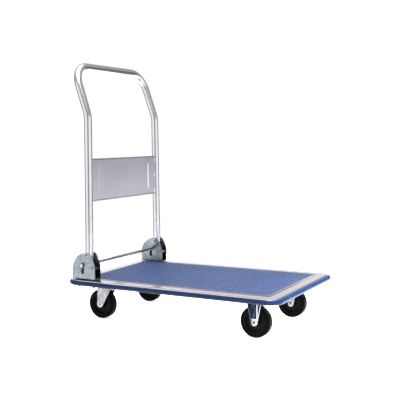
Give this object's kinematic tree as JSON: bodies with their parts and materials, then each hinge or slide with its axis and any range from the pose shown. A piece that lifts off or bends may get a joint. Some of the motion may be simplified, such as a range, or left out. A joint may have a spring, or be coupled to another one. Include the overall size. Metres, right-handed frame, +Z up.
{
  "type": "folding platform cart",
  "caption": "Flat-bed platform cart with a pressed steel deck, edge bumper, folding U handle with a foot-bar lock, swivel and fixed casters.",
  "frame": {"origin": "on the floor under the deck's centre", "axes": "+Z up; +X from the handle end to the open front end; +Y to the left of the person pushing"},
  "size_m": [0.74, 0.48, 0.822],
  "materials": {
    "deck_paint": "satin silver-grey enamel",
    "mat": "matt ribbed vinyl, slate blue to violet",
    "bumper": "satin dark blue vinyl",
    "plain_steel": "plain rolled",
    "zinc_plate": "dull zinc plate",
    "bright_zinc": "bright zinc plate",
    "handle_tube": "satin silver",
    "panel_paint": "satin silver-grey",
    "plug": "matt",
    "wheel_core": "satin moulded",
    "tyre": "matt"
  },
  "bodies": {
    "chassis": {"deck_pan": "deck_paint", "deck_mat": "mat", "edge_bumper": "bumper", "rear_channel": "plain_steel", "front_channel": "plain_steel", "rail_left": "plain_steel", "rail_right": "plain_steel", "bracket_left": "zinc_plate", "bracket_right": "zinc_plate", "pivot_bolts": "bright_zinc", "pivot_nuts": "bright_zinc", "pivot_washers": "bright_zinc", "stop_pins": "bright_zinc", "bracket_bolts": "bright_zinc", "bracket_nuts": "bright_zinc", "spring_pins": "bright_zinc", "spring_left": "bright_zinc", "spring_right": "bright_zinc", "caster_bolts": "bright_zinc", "caster_nuts": "bright_zinc", "swivel_plate_left": "zinc_plate", "swivel_plate_right": "zinc_plate", "kingpin_left": "bright_zinc", "kingpin_right": "bright_zinc", "fixed_fork_left": "zinc_plate", "fixed_fork_right": "zinc_plate", "front_axles": "bright_zinc", "front_sleeves": "plain_steel"},
    "handle": {"handle_tube": "handle_tube", "handle_panel": "panel_paint", "handle_plugs": "plug", "pivot_bushes": "plain_steel"},
    "foot_bar": {"lock_rod": "bright_zinc", "rod_washers": "bright_zinc", "rod_pins": "bright_zinc"},
    "swivel_left": {"swivel_fork_left": "zinc_plate", "swivel_balls_left": "plain_steel", "rear_axle_left": "bright_zinc", "rear_sleeve_left": "plain_steel"},
    "rear_wheel_left": {"rear_core_left": "wheel_core", "rear_tyre_left": "tyre"},
    "front_wheel_left": {"front_core_left": "wheel_core", "front_tyre_left": "tyre"},
    "swivel_right": {"swivel_fork_right": "zinc_plate", "swivel_balls_right": "plain_steel", "rear_axle_right": "bright_zinc", "rear_sleeve_right": "plain_steel"},
    "rear_wheel_right": {"rear_core_right": "wheel_core", "rear_tyre_right": "tyre"},
    "front_wheel_right": {"front_core_right": "wheel_core", "front_tyre_right": "tyre"}
  },
  "joints": [
    {"name": "handle_fold", "type": "hinge", "parent": "chassis", "child": "handle", "pos_m": [-0.287, 0, 0.211], "axis": [0, 1, 0], "range_deg": [0, 90]},
    {"name": "foot_bar_press", "type": "slide", "parent": "chassis", "child": "foot_bar", "axis": [0, 0, -1], "range_m": [0, 0.022], "stiffness_N_per_m": 500, "springref_m": -0.02, "deforming": ["spring_left", "spring_right"]},
    {"name": "swivel_left", "type": "hinge", "parent": "chassis", "child": "swivel_left", "pos_m": [-0.26, 0.1425, 0.104], "axis": [0, 0, 1], "continuous": true},
    {"name": "rear_wheel_spin_left", "type": "hinge", "parent": "swivel_left", "child": "rear_wheel_left", "pos_m": [-0.282, 0.1425, 0.047], "axis": [0, 1, 0], "continuous": true},
    {"name": "front_wheel_spin_left", "type": "hinge", "parent": "chassis", "child": "front_wheel_left", "pos_m": [0.262, 0.1425, 0.047], "axis": [0, 1, 0], "continuous": true},
    {"name": "swivel_right", "type": "hinge", "parent": "chassis", "child": "swivel_right", "pos_m": [-0.26, -0.1425, 0.104], "axis": [0, 0, 1], "continuous": true},
    {"name": "rear_wheel_spin_right", "type": "hinge", "parent": "swivel_right", "child": "rear_wheel_right", "pos_m": [-0.282, -0.1425, 0.047], "axis": [0, 1, 0], "continuous": true},
    {"name": "front_wheel_spin_right", "type": "hinge", "parent": "chassis", "child": "front_wheel_right", "pos_m": [0.262, -0.1425, 0.047], "axis": [0, 1, 0], "continuous": true}
  ]
}
